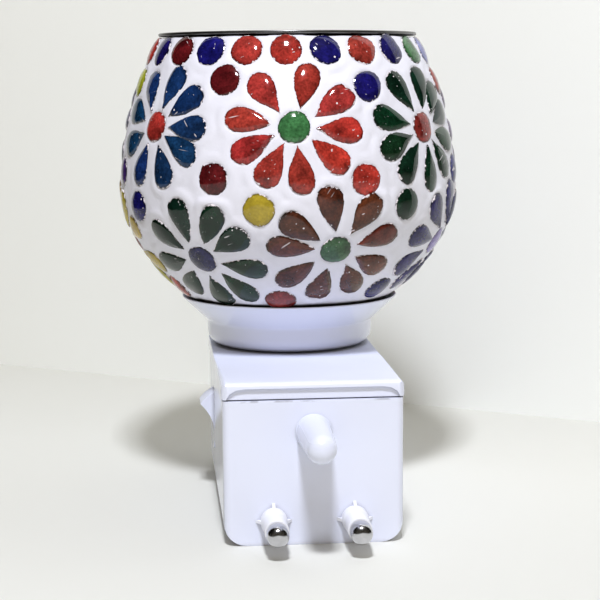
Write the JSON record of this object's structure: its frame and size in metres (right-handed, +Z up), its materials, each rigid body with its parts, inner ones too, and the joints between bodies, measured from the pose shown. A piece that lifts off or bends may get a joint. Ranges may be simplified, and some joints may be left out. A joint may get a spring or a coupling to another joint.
{
  "type": "electric camphor burner",
  "caption": "Plug-in camphor burner: long white housing with round pins and a rocker switch, a bulb in a glass-mosaic globe on a flared collar, and a lift-out metal dish over the bulb.",
  "frame": {"origin": "on the globe's axis, in the plane of the housing's flat underside", "axes": "+Z up along the globe's axis, -Y the way the pins point, -X the side with the rocker switch"},
  "size_m": [0.0892, 0.13, 0.1198],
  "materials": {
    "white_abs": "moulded, glossy cool white",
    "sleeve_nylon": "moulded white",
    "nickel_plate": "bright nickel plate",
    "screw_steel": "zinc-plated steel",
    "brass": "stamped",
    "black_phenolic": "moulded black",
    "black_glass": "opaque black glass",
    "clear_glass": "clear blown glass",
    "tungsten": "bare wire",
    "red_wire": "insulated wire",
    "black_wire": "insulated wire",
    "mosaic": "white grout with coloured glass chips set in it",
    "dish_aluminium": "spun aluminium"
  },
  "bodies": {
    "housing": {"body_tray": "white_abs", "body_lid": "white_abs", "lid_screw_1": "screw_steel", "lid_screw_2": "screw_steel", "lid_screw_3": "screw_steel", "lid_screw_4": "screw_steel", "line_pin": "nickel_plate", "line_pin_sleeve": "sleeve_nylon", "neutral_pin": "nickel_plate", "neutral_pin_sleeve": "sleeve_nylon", "earth_dummy_pin": "white_abs", "switch_case": "white_abs", "switch_contact_line": "brass", "switch_contact_lamp": "brass", "globe_collar": "white_abs", "lampholder_body": "black_phenolic", "lampholder_screw_shell": "brass", "lampholder_centre_contact": "brass", "lampholder_ring_nut": "black_phenolic", "wire_line": "red_wire", "wire_neutral": "black_wire", "wire_switched": "red_wire"},
    "rocker": {"switch_rocker": "white_abs", "switch_bridge": "brass"},
    "bulb_base": {"bulb_tip": "screw_steel", "bulb_insulator": "black_glass", "bulb_cap": "nickel_plate"},
    "bulb": {"bulb_glass": "clear_glass", "bulb_stem": "clear_glass", "bulb_filament": "tungsten"},
    "globe": {"globe_glass": "clear_glass", "mosaic_coat": "mosaic"},
    "dish": {"camphor_dish": "dish_aluminium"}
  },
  "joints": [
    {"name": "rocker_tilt", "type": "hinge", "parent": "housing", "child": "rocker", "pos_m": [-0.0182, -0.011, 0.01953], "axis": [0, 1, 0], "range_deg": [0, 32]},
    {"name": "bulb_rise", "type": "slide", "parent": "housing", "child": "bulb_base", "axis": [0, 0, 1], "range_m": [0, 0.0113]},
    {"name": "bulb_turn", "type": "hinge", "parent": "bulb_base", "child": "bulb", "pos_m": [0, 0, 0.06], "axis": [0, 0, 1], "range_deg": [0, 1440]},
    {"name": "globe_lift", "type": "slide", "parent": "housing", "child": "globe", "axis": [0, 0, 1], "range_m": [0, 0.075]},
    {"name": "dish_lift", "type": "slide", "parent": "globe", "child": "dish", "axis": [0, 0, 1], "range_m": [0, 0.03]}
  ],
  "couplings": [
    {"joint": "bulb_rise", "follows": "bulb_turn", "m_per_rad": 0.00044882}
  ]
}
